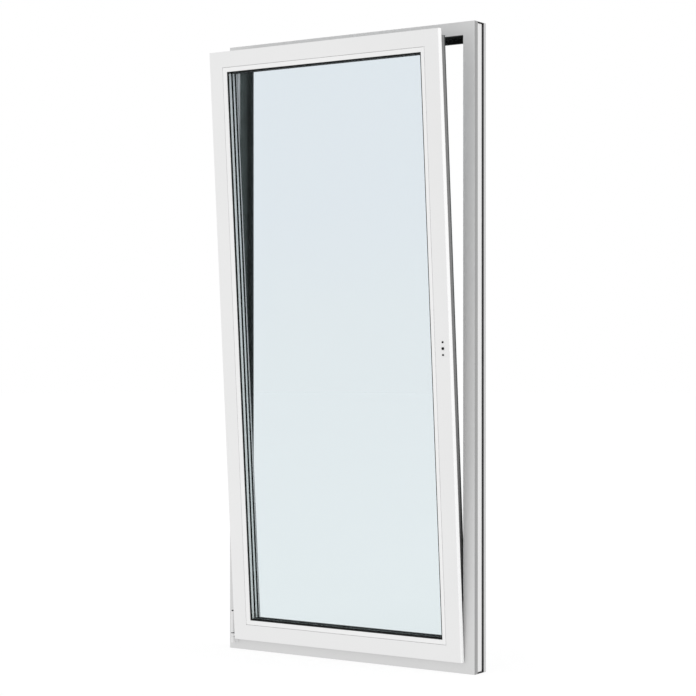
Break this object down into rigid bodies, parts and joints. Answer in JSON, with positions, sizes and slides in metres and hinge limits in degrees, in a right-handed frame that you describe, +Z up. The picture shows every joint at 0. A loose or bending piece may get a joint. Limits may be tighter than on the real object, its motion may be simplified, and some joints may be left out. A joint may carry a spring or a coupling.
{
  "type": "casement window",
  "caption": "Tall tilt-and-turn casement window with a white room side, dark outdoor cladding and triple glazing; the sash is tilted into the room on its stay arm.",
  "frame": {"origin": "on the underside of the frame sill, mid-width, in the room-side bearing band, 9.5 mm behind the room face", "axes": "+X to the right seen from the room, towards the lock side; +Y outdoors; +Z up"},
  "size_m": [1.04, 0.2464, 2.2],
  "materials": {
    "frame_pvc": "white PVC, satin, welded corners",
    "sash_pvc": "white PVC, satin",
    "cladding": "dark grey powder-coated aluminium, fine texture",
    "seal": "black EPDM",
    "spacer": "black warm-edge spacer with sealant",
    "glass": "clear float glass with a slight blue-green tint",
    "fittings": "zinc-plated steel",
    "hinge_white": "white coated hinge cover",
    "hinge_dark": "dark pin and cap",
    "setting_block": "plastic glazing packer"
  },
  "bodies": {
    "frame": {"frame_head": "frame_pvc", "frame_sill": "frame_pvc", "frame_hinge": "frame_pvc", "frame_lock": "frame_pvc", "frame_clad_head": "cladding", "frame_clad_sill": "cladding", "frame_clad_hinge": "cladding", "frame_clad_lock": "cladding", "frame_rebate_seal": "seal", "side_seal_hinge": "seal", "side_seal_lock": "seal", "keeper_lock_upper": "fittings", "keeper_lock_lower": "fittings", "keeper_head": "fittings", "keeper_sill": "fittings", "stay_bearing": "hinge_white", "stay_pin": "fittings", "corner_bearing": "hinge_white", "corner_pin": "hinge_dark"},
    "turn_carrier": {"corner_hinge": "hinge_white"},
    "stay": {"stay_arm": "fittings"},
    "sash": {"sash_top": "sash_pvc", "sash_bottom": "sash_pvc", "sash_hinge": "sash_pvc", "sash_lock": "sash_pvc", "sash_clad_top": "cladding", "sash_clad_bottom": "cladding", "sash_clad_hinge": "cladding", "sash_clad_lock": "cladding", "bead_top": "sash_pvc", "bead_bottom": "sash_pvc", "bead_hinge": "sash_pvc", "bead_lock": "sash_pvc", "pane_inner": "glass", "pane_middle": "glass", "pane_outer": "glass", "spacer_inner": "spacer", "spacer_outer": "spacer", "glazing_seal_inner": "seal", "glazing_seal_outer": "seal", "setting_block_hinge": "setting_block", "setting_block_lock": "setting_block", "sash_seal": "seal", "faceplate_lock": "fittings", "faceplate_top": "fittings", "faceplate_bottom": "fittings", "corner_drive_top": "fittings", "corner_drive_bottom": "fittings", "gear_case": "fittings", "stay_guide": "fittings"},
    "spindle": {"spindle_follower": "fittings"},
    "rod_lock": {"drive_rod_lock": "fittings", "cam_lock_upper": "fittings", "cam_lock_lower": "fittings"},
    "rod_top": {"drive_rod_top": "fittings", "cam_top": "fittings"},
    "rod_bottom": {"drive_rod_bottom": "fittings", "cam_bottom": "fittings"}
  },
  "joints": [
    {"name": "turn", "type": "hinge", "parent": "frame", "child": "turn_carrier", "pos_m": [-0.495, -0.0245, 0.1], "axis": [0, 0, -1], "range_deg": [0, 90]},
    {"name": "tilt", "type": "hinge", "parent": "turn_carrier", "child": "sash", "pos_m": [0, -0.0245, 0.052], "axis": [-1, 0, 0], "range_deg": [0, 4]},
    {"name": "stay_swing", "type": "hinge", "parent": "turn_carrier", "child": "stay", "pos_m": [-0.495, -0.0245, 2.1495], "axis": [0, 0, 1], "range_deg": [0, 21.16]},
    {"name": "spindle_turn", "type": "hinge", "parent": "sash", "child": "spindle", "pos_m": [0.4548, -0.07267, 1.09919], "axis": [0, -0.9976, -0.0698], "range_deg": [0, 180]},
    {"name": "rod_lock_slide", "type": "slide", "parent": "sash", "child": "rod_lock", "axis": [0, 0.0698, -0.9976], "range_m": [0, 0.036]},
    {"name": "rod_top_slide", "type": "slide", "parent": "sash", "child": "rod_top", "axis": [1, 0, 0], "range_m": [0, 0.036]},
    {"name": "rod_bottom_slide", "type": "slide", "parent": "sash", "child": "rod_bottom", "axis": [-1, 0, 0], "range_m": [0, 0.036]}
  ],
  "couplings": [
    {"joint": "stay_swing", "follows": "tilt", "ratio": 5.29},
    {"joint": "spindle_turn", "follows": "rod_lock_slide", "rad_per_m": 87.266},
    {"joint": "rod_top_slide", "follows": "rod_lock_slide", "ratio": 1},
    {"joint": "rod_bottom_slide", "follows": "rod_lock_slide", "ratio": 1}
  ]
}
